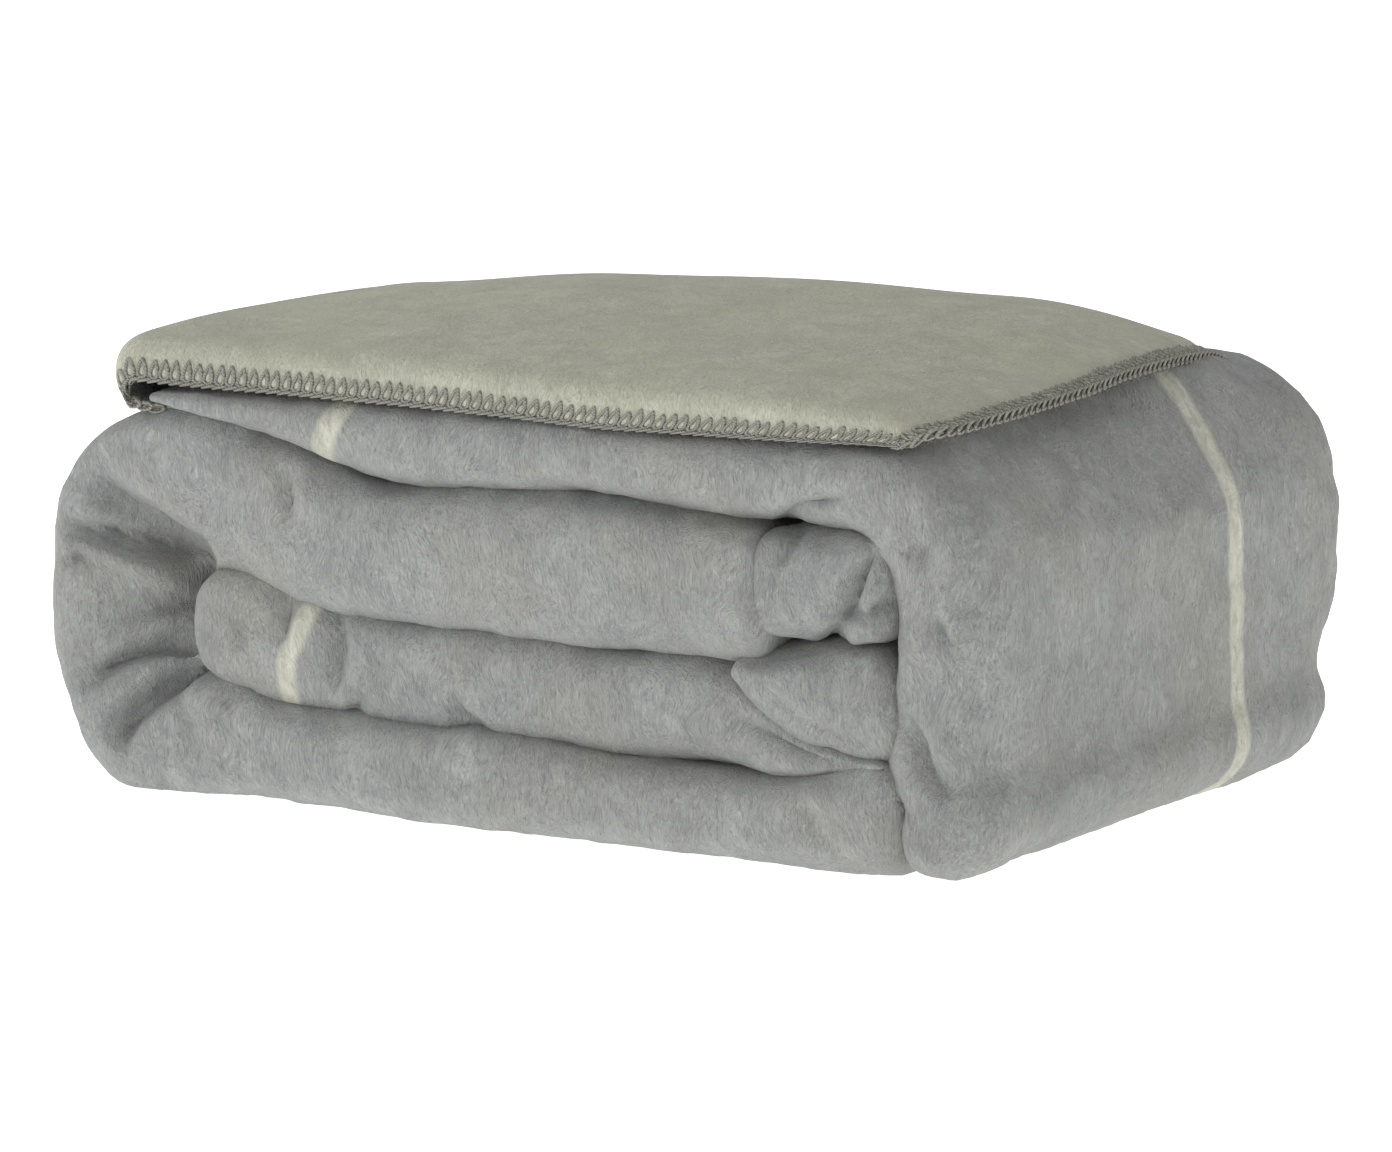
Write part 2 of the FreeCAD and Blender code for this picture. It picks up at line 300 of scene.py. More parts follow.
lowerEndFold = {
    "node": "core_end_fold_lower",
    "line": [(63, 22, 22, 0, 17), (47, 20, 23.5, 0, 17), (32, 21, 21.5, 0, 17), (19, 21.5, 19.5, 0, 17),
             (5, 24, 14.5, 0, 16), (-7, 28, 8.5, 0, 14), (-15, 31.5, 3, 0, 12)],
    "step": 4.8, "startRound": 12, "endRound": 4,
    "inFront": 8.5, "inBack": 8.5,
    "squareness": 2.8, "frontFaces": 18, "backFaces": 12, "innerFaces": 24, "outerFaces": 24,
}

# The turned-back cloth's upper surface: a row for each place through the depth, front to back, with
# that depth, where the right hem is, and the height at each of the stations across. Its fold is at the
# left, and its tuck runs from there between the top run and the run under it.
flap = {
    "stations": [-185, -120, -50, 40, 120, 165, 205],
    "rows": [(-155, 189, 177.8, 178, 177.8, 177.3, 177.6, 179.5, 180.5),
             (-154.4, 195, 183, 183.5, 184, 184, 184, 184, 182.5),
             (-151.5, 199, 187, 188, 188.5, 188.5, 188.5, 187.5, 184),
             (-144, 203, 190, 191, 191.5, 191.5, 191.5, 189.5, 184.5),
             (-128, 206, 191, 192.5, 194, 194.5, 194, 191.5, 184.5),
             (-90, 207, 191, 195.5, 198, 198, 197, 194, 184),
             (-40, 204, 189, 197, 201, 200.5, 199.5, 196, 184),
             (10, 199, 186.5, 197, 202, 201, 201, 196.5, 183.5),
             (60, 193, 183, 193, 198.5, 200.5, 199.5, 194, 181.5),
             (110, 185, 178, 186, 191.5, 194, 193, 184, 175),
             (138, 177, 173, 178, 182.5, 184, 182, 172, 165),
             (148, 170, 171.5, 172.5, 175, 176, 174, 165, 160),
             (151, 161, 170.3, 169.5, 170, 171, 169, 161, 156)],
    "depthStep": 2.6, "topFaces": 132, "foldFaces": 20, "tuckFaces": 24,
    "foldMiddle": hinges["flap_open"][0] / mm + 6.5, "tuckHeight": hinges["flap_open"][2] / mm - 12.5,
    "tuckEnd": -84, "tuckSlope": -0.17, "ply": 3.8, "edgeFullness": 0.27,
    "underside": 9, "topRunSkin": 171.5,
}
evenOver = np.linspace(-22, 22, 9)    # the heights are evened out over this far to either side
flapFine = smoothLine([(row[0], row[5], row[1]) + row[2:] for row in flap["rows"]], flap["depthStep"])


def flapHeight(x, y):
    # height of the turned-back cloth over each place, evened out between the stations
    lastGap = len(flap["stations"]) - 2
    stationHeights = np.array([np.interp(y, flapFine[:, 0], flapFine[:, 3 + i]) for i in range(lastGap + 2)])
    column = np.arange(len(x))
    height = np.zeros(len(x))
    for shift in evenOver:
        place = np.interp(x + shift, flap["stations"], np.arange(lastGap + 2))
        below = np.clip(np.floor(place).astype(int), 0, lastGap)
        share = place - below
        low, high = stationHeights[below, column], stationHeights[below + 1, column]
        height += (low * (1 - share) + high * share) / len(evenOver)
    return height


def topRunLift(places, outerShare):
    # the stack under the turned-back cloth rises to meet it
    leftFade = smoothStep(-176, -150, places[:, 0])
    rightFade = 1 - smoothStep(180, 226, places[:, 0])
    inside = 1 - smoothStep(132, 150, np.abs(places[:, 1]))
    above = smoothStep(120, 160, places[:, 2])
    beyondHem = places[:, 0] - np.interp(places[:, 1], flapFine[:, 0], flapFine[:, 2])
    wanted = flapHeight(places[:, 0], np.clip(places[:, 1], -141, 141)) - flap["underside"]
    wanted += 4 * smoothStep(-4, 8, beyondHem) - flap["topRunSkin"]
    return np.maximum(wanted, -3) * leftFade * rightFade * inside * outerShare * above


topTurn = {
    "node": "right_turn",
    "line": [(-12, 18, 17, 0, 22), (-1, 20, 20, 0, 22), (7, 27, 32.5, 0, 23), (9, 44, 23.5, 0, 24),
             (10, 62, 21, 0, 24), (11, 90, 20.5, 0, 24), (10.5, 116, 21, 0, 24), (5, 138, 23.5, 0, 26),
             (-11, 152, 20, 0, 25), (-36, 156, 15.5, 0, 23), (-86, 156, 15.5, 0, 22),
             (-160, 157, 14, 0, 20), (-236, 156, 15, 0, 20), (-271, 159, 12, 0, 17),
             (-315, 164.5, 6.5, 0, 12), (-364, 168, 2, 0, 8)],
    "step": 5.2, "startRound": 13, "endRound": 4,
    "inFront": 1.5, "inBack": 10.5,
    "squareness": 2.8, "frontFaces": 20, "backFaces": 16, "innerFaces": 24, "outerFaces": 56,
    "lift": topRunLift,
}

# Creases of each cloth, as lines of x and z on its front.
outerTurnCreases = [
    {"line": [(-104, 142), (-104, 116)], "depth": 6, "width": 9, "reach": 50},
    {"line": [(-134, 130), (-148, 118), (-150, 100)], "depth": 4, "width": 12, "reach": 60},
    {"line": [(-200, 127), (-187, 117), (-178, 112), (-166, 107), (-155, 102), (-140, 95)],
     "depth": 15, "width": 13, "reach": 110},
    {"line": [(-216, 105), (-192, 105), (-180, 102), (-168, 100), (-158, 96), (-136, 88)],
     "depth": 15, "width": 9, "reach": 110},
    {"line": [(-218, 92), (-200, 95)], "depth": 5, "width": 7, "reach": 80},
    {"line": [(-140, 67), (-156, 64), (-165, 62), (-173, 59), (-182, 56), (-196, 48), (-210, 38)],
     "depth": 13, "width": 9, "reach": 110},
    {"line": [(-138, 57), (-151, 55), (-157, 52), (-164, 47), (-169, 43), (-176, 37), (-183, 30), (-187, 23),
              (-189, 14)], "depth": 19, "width": 11, "reach": 110},
    {"line": [(-160, 45), (-156, 32), (-149, 14)], "depth": 4, "width": 10, "reach": 60},
    {"line": [(136, 30), (145, 21), (154, 10)], "depth": 3, "width": 11, "reach": 40},
]
coreRunCreases = [
    {"line": [(-127, 76), (-127, 64)], "depth": 3, "width": 7, "reach": 40},
    {"line": [(-107, 67), (-105, 77), (-102, 88)], "depth": 5, "width": 8, "reach": 40},
    {"line": [(-119, 66), (-119, 46)], "depth": 2.5, "width": 9, "reach": 40},
    {"line": [(-80, 88), (-79, 65), (-82, 48)], "depth": 7, "width": 10, "reach": 50},
    {"line": [(-73, 54), (-70, 47), (-74, 36)], "depth": 5, "width": 7, "reach": 40},
    {"line": [(-36, 64), (-40, 52)], "depth": 3, "width": 9, "reach": 40},
    {"line": [(-27, 58), (-21, 46), (-4, 36)], "depth": 6, "width": 9, "reach": 40},
    {"line": [(101, 70), (112, 58), (137, 50), (165, 42)], "depth": 3, "width": 9, "reach": 40},
]
upperEndFoldCreases = [
    {"line": [(176, 133), (167, 122), (158, 101), (155, 90)], "depth": 10, "width": 8, "reach": 50},
    {"line": [(159, 103), (170, 106), (187, 114)], "depth": 6, "width": 6, "reach": 50},
    {"line": [(129, 122), (143, 140)], "depth": 4, "width": 7, "reach": 50},
]
lowerEndFoldCreases = [
    {"line": [(120, 78), (127, 68), (140, 60), (156, 55), (182, 50)], "depth": 3, "width": 8, "reach": 40},
]
topTurnCreases = [
    {"line": [(129, 137), (141, 145), (162, 153)], "depth": 6, "width": 8, "reach": 40},
    {"line": [(188, 68), (193, 57), (197, 47), (209, 37)], "depth": 8, "width": 9, "reach": 50},
    {"line": [(198, 107), (208, 98)], "depth": 4, "width": 8, "reach": 40},
    {"line": [(187, 131), (201, 134)], "depth": 4, "width": 8, "reach": 40},
]


filling = {"pressure": 4, "frames": 20, "limit": 4.0, "spareCloth": -0.02, "bending": 0.6}


def fillWithCloth(cloth):
    # the plies inside push the outer cloth out, and its spare length gathers into soft folds
    before = readVertices(cloth)
    selectOnly(cloth)
    soft = cloth.modifiers.new("filling", "CLOTH")
    soft.settings.quality = 5
    soft.settings.mass = 0.3
    soft.settings.bending_stiffness = filling["bending"]
    soft.settings.shrink_min = filling["spareCloth"]
    soft.settings.use_pressure = True
    soft.settings.uniform_pressure_force = filling["pressure"]
    soft.settings.effector_weights.gravity = 0
    soft.collision_settings.use_collision = False
    soft.point_cache.frame_start = 1
    soft.point_cache.frame_end = filling["frames"]
    for number in range(1, filling["frames"] + 1):
        bpy.context.scene.frame_set(number)
    bpy.ops.object.modifier_apply(modifier="filling")
    bpy.context.scene.frame_set(1)
    moved = readVertices(cloth) - before
    far = np.maximum(np.linalg.norm(moved, axis=1), 0.001)
    moved *= (filling["limit"] * np.tanh(far / filling["limit"]) / far)[:, None]
    placeVertices(cloth, before + moved)
    print(cloth.name, "filled, moved up to", round(float(far.max()), 1), "mm before the limit")


def subdivideOnce(cloth):
    selectOnly(cloth)
    rounding = cloth.modifiers.new("rounding", "SUBSURF")
    rounding.levels = 1
    rounding.render_levels = 1
    bpy.ops.object.modifier_apply(modifier="rounding")


def buildRun(name, settings, creases, seed, height=1.0):
    run = foldedRun(name, settings)
    fillWithCloth(run)
    subdivideOnce(run)
    pressCreases(run, creases)
    softenSurface(run, seed, height)
    print(name, "built with", len(run.data.polygons), "faces")
    return run


outerTurnCloth = buildRun("outerTurnCloth", outerTurn, outerTurnCreases, 1)
coreRunCloth = buildRun("coreRunCloth", coreRun, coreRunCreases, 2)
upperEndFoldCloth = buildRun("upperEndFoldCloth", upperEndFold, upperEndFoldCreases, 3, 0.6)
lowerEndFoldCloth = buildRun("lowerEndFoldCloth", lowerEndFold, lowerEndFoldCreases, 4, 0.6)
topTurnCloth = buildRun("topTurnCloth", topTurn, topTurnCreases, 5, 0.6)


def flapSurface():
    # the cloth's middle surface: rows through the depth, columns from the right hem round the fold
    rows = []
    for depthRow in flapFine:
        y, right = depthRow[0], depthRow[2]
        x = np.linspace(right, flap["foldMiddle"], flap["topFaces"] + 1)
        heights = np.zeros(len(x))
        for shift in evenOver:
            heights += np.interp(x + shift, flap["stations"], depthRow[3:]) / len(evenOver)
        top = np.stack([x, np.full(len(x), y), heights - flap["ply"]], axis=1)
        edge = smoothStep(141, 150, abs(y))
        high, low = top[-1, 2], flap["tuckHeight"] + 1.8 * edge - 4.5 * smoothStep(40, 150, y)
        radius = (high - low) / 2
        turn = np.linspace(0, math.pi, flap["foldFaces"] + 1)[1:]
        fold = np.stack([flap["foldMiddle"] - radius * np.sin(turn), np.full(len(turn), y),
                         (high + low) / 2 + radius * np.cos(turn)], axis=1)
        x = np.linspace(flap["foldMiddle"], flap["tuckEnd"], flap["tuckFaces"] + 1)[1:]
        fall = flap["tuckSlope"] * (x - flap["foldMiddle"])
        tuck = np.stack([x, np.full(len(x), y), low + fall], axis=1)
        tuck[:, 1] *= 1 - 0.05 * smoothStep(flap["foldMiddle"], flap["foldMiddle"] + 24, x)
        rows.append(np.vstack([top, fold, tuck]))
    surface = np.array(rows)
    for row in surface:
        for spot in row[:flap["topFaces"] + 1]:
            spot[2] += 1.5 * noise.noise(Vector(spot) / 55)
    return surface


def surfaceNormals(surface):
    alongX = np.gradient(surface, axis=1)
    alongY = np.gradient(surface, axis=0)
    normals = np.cross(alongX, alongY)
    normals /= np.maximum(np.linalg.norm(normals, axis=2), 1e-9)[:, :, None]
    if normals[normals.shape[0] // 2, 10, 2] < 0:
        normals = -normals
    return normals


def fullnessOf(surface):
    # the cloth is pinched by its stitches along the two long edges and the right hem
    steps = np.linalg.norm(np.diff(surface, axis=0), axis=2)
    fromFront = np.vstack([np.zeros(surface.shape[1]), np.cumsum(steps, axis=0)])
    fromBack = fromFront[-1] - fromFront
    steps = np.linalg.norm(np.diff(surface, axis=1), axis=2)
    fromRight = np.hstack([np.zeros((surface.shape[0], 1)), np.cumsum(steps, axis=1)])
    inset = np.minimum(np.minimum(fromFront, fromBack), fromRight)
    return flap["edgeFullness"] + (1 - flap["edgeFullness"]) * smoothStep(3, 17, inset)


flapMiddle = flapSurface()
flapNormals = surfaceNormals(flapMiddle)
flapFullness = fullnessOf(flapMiddle)


def flapCloth(name, side):
    # one of the two cloths: the middle surface moved out or in by half a ply, then given its thickness
    cloth, columns, rows = addGrid(name, flapMiddle.shape[0] - 1, flapMiddle.shape[1] - 1)
    fullness = flapFullness[columns, rows]
    offset = side * flap["ply"] / 2 * fullness
    placeVertices(cloth, flapMiddle[columns, rows] + flapNormals[columns, rows] * offset[:, None])
    thinning = cloth.vertex_groups.new(name="fullness")
    for level in np.unique(np.round(fullness, 2)):
        chosen = np.nonzero(np.round(fullness, 2) == level)[0].tolist()
        thinning.add(chosen, float(level), "REPLACE")
    smoothOutside(cloth)
    thickness = cloth.modifiers.new("ply", "SOLIDIFY")
    thickness.thickness = flap["ply"] * mm
    thickness.offset = 0
    thickness.vertex_group = "fullness"
    bpy.ops.object.modifier_apply(modifier="ply")
    print(name, "built with", len(cloth.data.polygons), "faces")
    return cloth


flapReverse = flapCloth("flapReverseCloth", 1)
flapFace = flapCloth("flapFaceCloth", -1)


# The yarn round the flap's edge: the distance from stitch to stitch, and the size of a loop and of a
# link of the chain.
yarn = {"pitch": 5.4, "height": 7.2, "width": 4.6, "radius": 0.8, "chainLength": 7.6, "chainWidth": 3.2,
        "ringSteps": 14, "ringSides": 5, "dark": "7b7b74", "light": "a3a299"}


def edgeStrips():
    # the hem from the tuck round the fold in front, the right side, and the same behind; at each place
    # a strip of points runs from the hem into the cloth, a millimetre apart, with the cloth's normals
    turned = flap["topFaces"] + flap["foldFaces"] + 5
    last = flapMiddle.shape[0] - 1
    insets = np.arange(0, 12)
    points, normals = [], []

    def readStrip(line, lineNormals):
        travel = np.concatenate([[0], np.cumsum(np.linalg.norm(np.diff(line, axis=0), axis=1))])
        points.append(np.stack([np.interp(insets, travel, column) for column in line.T], axis=1))
        normals.append(np.stack([np.interp(insets, travel, column) for column in lineNormals.T], axis=1))

    for j in range(turned, -1, -1):
        readStrip(flapMiddle[:12, j], flapNormals[:12, max(j, 1)])
    for i in range(1, last):
        readStrip(flapMiddle[i, :12], flapNormals[i, :12])
    for j in range(0, turned + 1):
        readStrip(flapMiddle[last:last - 12:-1, j], flapNormals[last:last - 12:-1, max(j, 1)])
    points, normals = np.array(points), np.array(normals)
    travel = np.concatenate([[0], np.cumsum(np.linalg.norm(np.diff(points[:, 0], axis=0), axis=1))])
    # turn the strips evenly round the corners
    inward = points - points[:, :1]
    evened = np.zeros_like(inward)
    for shift in np.linspace(-7, 7, 9):
        for k in range(len(insets)):
            for axis in range(3):
                evened[:, k, axis] += np.interp(travel + shift, travel, inward[:, k, axis]) / 9
    return points[:, :1] + evened, normals, travel


def spreadOver(count, marks, insets, height, slide):
    # places on the cloth's hem: a mark along it, how far in, how high off the middle of the cloth
    strips, normals, travel = hemStrips
    along = marks + slide
    row = np.interp(along, travel, np.arange(len(travel)))
    low = np.clip(np.floor(row).astype(int), 0, len(travel) - 2)
    rowShare = (row - low)[:, None]
    depth = np.clip(insets, 0, 10.9)
    column = np.floor(depth).astype(int)
    columnShare = (depth - column)[:, None]

    def blendOf(table):
        first = table[low, column] * (1 - columnShare) + table[low, column + 1] * columnShare
        second = table[low + 1, column] * (1 - columnShare) + table[low + 1, column + 1] * columnShare
        return first * (1 - rowShare) + second * rowShare

    places, up = blendOf(strips), blendOf(normals)
    up /= np.maximum(np.linalg.norm(up, axis=1), 1e-6)[:, None]
    outwards = strips[low, 0] - strips[low, 2]
    outwards /= np.maximum(np.linalg.norm(outwards, axis=1), 1e-6)[:, None]
    return places + up * height[:, None] + outwards * np.maximum(-insets, 0)[:, None]


hemStrips = edgeStrips()


def repeatShape(shape, count):
    copies = shape.modifiers.new("copies", "ARRAY")
    copies.count = count
    copies.use_relative_offset = False
    selectOnly(shape)
    bpy.ops.object.modifier_apply(modifier="copies")
    return np.arange(len(shape.data.vertices))


def clothHalf(insets):
    # half the thickness of the two cloths together at a place in from the hem
    return flap["ply"] * (flap["edgeFullness"] + (1 - flap["edgeFullness"]) * smoothStep(3, 17, insets))


def addStitches(marks, jitter):
    bpy.ops.object.select_all(action="DESELECT")
    bpy.ops.mesh.primitive_torus_add(major_segments=yarn["ringSteps"], minor_segments=yarn["ringSides"],
                                     major_radius=1, minor_radius=0.25)
    stitches = bpy.context.object
    stitches.name = "edgeYarn"
    stitches.data.name = "edgeYarn"
    kinds = 3   # a loop on top, a loop underneath, a link of the chain along the edge
    perRing = yarn["ringSteps"] * yarn["ringSides"]
    order = repeatShape(stitches, len(marks) * kinds)
    ring, order = order // perRing, order % perRing
    ringAngle = 2 * math.pi * (order // yarn["ringSides"]) / yarn["ringSteps"]
    yarnAngle = 2 * math.pi * (order % yarn["ringSides"]) / yarn["ringSides"]
    kind, stitch = ring % kinds, ring // kinds
    radius = yarn["radius"] * np.where(kind == 2, 0.9, 1.0)
    sideways, lift = np.cos(yarnAngle) * radius, np.sin(yarnAngle) * radius
    tall = yarn["height"] * (1 + 0.06 * jitter[stitch, 0])
    wide = yarn["width"] / 2 * (1 + 0.06 * jitter[stitch, 1])
    # loops: wide at the edge, drawn together at the top
    shape = np.sin(ringAngle) * (0.66 + 0.34 * np.cos(ringAngle)) * 1.22
    outer = np.where(np.abs(np.sin(ringAngle)) > 0.05, np.sign(np.sin(ringAngle)), 0)
    loopAlong = shape * wide + outer * sideways * np.abs(np.sin(ringAngle)) + 0.25 * jitter[stitch, 2]
    loopIn = -0.6 + (1 - np.cos(ringAngle)) / 2 * tall - np.cos(ringAngle) * sideways
    loopUp = clothHalf(np.maximum(loopIn, 0)) * smoothStep(-2.2, 1.2, loopIn) + 0.35 + lift
    chainAlong = np.cos(ringAngle) * (yarn["chainLength"] / 2 + sideways)
    chainUp = np.sin(ringAngle) * (yarn["chainWidth"] / 2 + sideways) + 0.7 * np.cos(ringAngle)
    chainIn = -1.5 - lift + 0.8 * np.cos(ringAngle)
    slide = np.where(kind == 2, chainAlong, loopAlong)
    insets = np.where(kind == 2, chainIn, loopIn)
    height = np.where(kind == 2, chainUp, np.where(kind == 0, loopUp, -0.6 * loopUp))
    placeVertices(stitches, spreadOver(len(marks), marks[stitch], insets, height, slide))
    smoothOutside(stitches)
    print("edge yarn built with", len(marks), "stitches")
    return stitches


def addTufts(marks, jitter):
    # plush squeezed out between the two legs of each loop
    bpy.ops.object.select_all(action="DESELECT")
    bpy.ops.mesh.primitive_uv_sphere_add(segments=8, ring_count=6, radius=1)
    tufts = bpy.context.object
    tufts.name = "edgeTufts"
    tufts.data.name = "edgeTufts"
    ball = readVertices(tufts) * mm
    order = repeatShape(tufts, len(marks) * 2)
    ring, order = order // len(ball), order % len(ball)
    under, stitch = ring % 2, ring // 2
    x, y, z = ball[order].T
    swollen = 1 + 0.12 * jitter[stitch, 3]
    slide = x * (1.55 - 0.55 * y) * swollen + 0.25 * jitter[stitch, 2]
    insets = 2.5 + 2.5 * y
    height = clothHalf(insets) * 0.65 + z * 1.0 * swollen
    height = np.where(under == 1, -height, height)
    placeVertices(tufts, spreadOver(len(marks), marks[stitch], insets, height, slide))
    smoothOutside(tufts)
    return tufts


stitchMarks = np.arange(yarn["pitch"], hemStrips[2][-1] - yarn["pitch"], yarn["pitch"])
stitchJitter = np.random.default_rng(7).normal(0, 1, (len(stitchMarks), 4))
edgeTufts = addTufts(stitchMarks, stitchJitter)
edgeYarn = addStitches(stitchMarks, stitchJitter)


# Cream check lines, kept on each cloth as its distance from the nearest line: the side that a line is on,
# its places there, and its width.
checkLines = {
    "coreRunCloth": [("front", [(-87, 92), (-92, 80), (-99, 65), (-102, 43), (-100, 36)], 9)],
    "topTurnCloth": [("right", [(56, 190), (54, 176), (50, 165), (47, 150), (46, 130), (47, 105), (49, 80),
                                (50, 50), (46, 30), (40, 12), (36, 0)], 12),
                     ("front", [(-70, 182), (-73, 170), (-78, 158), (-84, 145), (-86, 138)], 10.5),
                     ("top", [(-70, -170), (-70, 0), (-74, 165)], 11),
                     ("top", [(-170, 50), (0, 53), (215, 55)], 12)],
}


def markCheckLines(cloth, lines):
    places = readVertices(cloth)
    distance = np.full(len(places), 40.0)
    normals = readNormals(cloth)
    for side, line, width in lines:
        if side == "front":
            flat, ahead = places[:, [0, 2]], places[:, 1] < -139
        elif side == "right":
            flat, ahead = places[:, [1, 2]], places[:, 0] > 188
        else:
            flat = places[:, [0, 1]]
            facingUp = (places[:, 2] > 163) & (normals[:, 2] > 0.2)
            ahead = facingUp & (places[:, 0] <= 188) & (places[:, 1] >= -139)
        away = distanceToLine(flat, line)[0] - width / 2
        distance = np.where(ahead, np.minimum(distance, away), distance)
    stored = cloth.data.attributes.new("fromCheckLine", "FLOAT", "POINT")
    stored.data.foreach_set("value", distance)


def toLinear(hexColour):
    values = [int(hexColour[i:i + 2], 16) / 255 for i in (0, 2, 4)]
    return [v / 12.92 if v <= 0.04045 else ((v + 0.055) / 1.055) ** 2.4 for v in values] + [1]


def newMaterial(name, roughness):
    material = bpy.data.materials.new(name)
    material.use_nodes = True
    shader = material.node_tree.nodes["Principled BSDF"]
    shader.inputs["Roughness"].default_value = roughness
    return material, shader


def addNode(material, kind, settings=None, links=None):
    # one node: its own settings by name, its inputs by name or number, and what is linked into it
    node = material.node_tree.nodes.new(kind)
    for name, value in (settings or {}).items():
        if isinstance(name, str) and hasattr(node, name):
            setattr(node, name, value)
        else:
            node.inputs[name].default_value = value
    for name, source in (links or {}).items():
        material.node_tree.links.new(source, node.inputs[name])
    return node


def joinTo(material, source, target):
    material.node_tree.links.new(source, target)


# The pile's colours, and how much its tips frost over at a low angle.
plush = {
    "greyPlush": {"light": "a9aba9", "dark": "8e908f", "warm": "a19f95", "shade": "77797a", "tip": "c2c4c3",
                  "sheen": 0.2},
    "creamPlush": {"light": "cbcbba", "dark": "babaa9", "warm": "c7c5b1", "shade": "a2a293", "tip": "dcdcce",
                   "sheen": 0.15},
}


